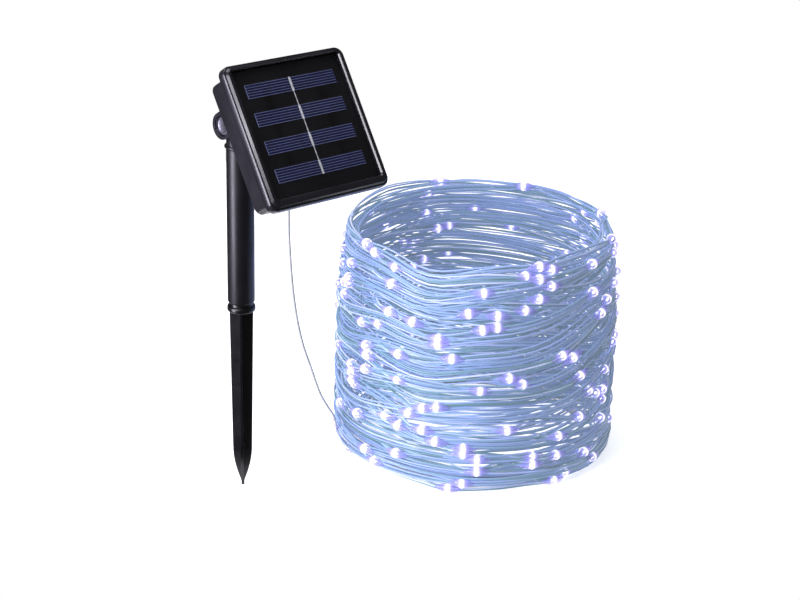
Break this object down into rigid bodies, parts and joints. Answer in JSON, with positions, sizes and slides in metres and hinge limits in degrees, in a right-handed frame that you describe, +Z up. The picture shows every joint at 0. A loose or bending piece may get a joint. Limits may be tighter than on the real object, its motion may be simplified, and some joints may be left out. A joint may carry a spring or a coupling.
{
  "type": "solar string light",
  "caption": "Ground stake with a tilting square solar panel head, push buttons on its back, and a clear lead to a round coil of thin wire string lights with moulded drops.",
  "frame": {"origin": "the tip of the ground spike, on the pole's axis", "axes": "+Z up along the pole; +X to the right, towards the coil of string; -Y to the front, the side the solar panel faces"},
  "size_m": [0.2265, 0.2381, 0.2496],
  "materials": {
    "spike_plastic": "satin",
    "pole_plastic": "satin",
    "stem_plastic": "satin",
    "housing_plastic": "matte",
    "bezel_plastic": "gloss",
    "inner_plastic": "matte",
    "panel_black": "gloss",
    "silicon": "gloss",
    "ribbon": "satin",
    "cover": "gloss",
    "steel": "satin",
    "bolt_steel": "gloss",
    "foam": "matte",
    "rubber_seal": "matte",
    "battery_wrap": "gloss",
    "circuit_board": "satin",
    "chip": "matte",
    "red_button": "matte",
    "grey_button": "matte",
    "wire_red": "satin",
    "wire_black": "satin",
    "clear_pvc": "gloss",
    "clear_sleeve": "gloss",
    "wire_string": "gloss",
    "drop_resin": "gloss"
  },
  "bodies": {
    "stake": {"ground_spike": "spike_plastic", "pole_tube": "pole_plastic", "lead_cable": "clear_pvc", "lead_splice": "clear_sleeve", "string_coil": "wire_string", "light_drops": "drop_resin", "string_end": "clear_sleeve"},
    "bracket": {"bracket_stem": "stem_plastic", "hinge_washers": "steel"},
    "panel_head": {"hinge_bolt": "bolt_steel", "hinge_nut": "steel", "rear_housing": "housing_plastic", "housing_gasket": "foam", "front_bezel": "bezel_plastic", "panel_board": "panel_black", "solar_cells": "silicon", "cell_links": "panel_black", "cell_ribbon": "ribbon", "panel_cover": "cover", "battery_cell": "battery_wrap", "battery_cradle": "inner_plastic", "battery_contacts": "steel", "control_board": "circuit_board", "board_parts": "chip", "power_switch": "chip", "mode_switch": "chip", "button_seals": "rubber_seal", "panel_wires": "wire_red", "battery_wires": "wire_black", "board_screws": "steel", "housing_screws": "steel", "cable_gland": "rubber_seal"},
    "power_cap": {"power_button": "red_button"},
    "mode_cap": {"mode_button": "grey_button"}
  },
  "joints": [
    {"name": "bracket_swivel", "type": "hinge", "parent": "stake", "child": "bracket", "pos_m": [0, 0, 0.1943], "axis": [0, 0, 1], "range_deg": [-90, 90], "deforming": ["lead_cable"]},
    {"name": "panel_tilt", "type": "hinge", "parent": "bracket", "child": "panel_head", "pos_m": [0, 0, 0.2078], "axis": [0.7431, 0.6691, 0], "range_deg": [-57, 33], "deforming": ["lead_cable"]},
    {"name": "power_press", "type": "slide", "parent": "panel_head", "child": "power_cap", "axis": [0.5612, -0.6233, 0.5446], "range_m": [0, 0.0011], "stiffness_N_per_m": 700, "springref_m": -0.0008},
    {"name": "mode_press", "type": "slide", "parent": "panel_head", "child": "mode_cap", "axis": [0.5612, -0.6233, 0.5446], "range_m": [0, 0.0011], "stiffness_N_per_m": 700, "springref_m": -0.0008}
  ]
}
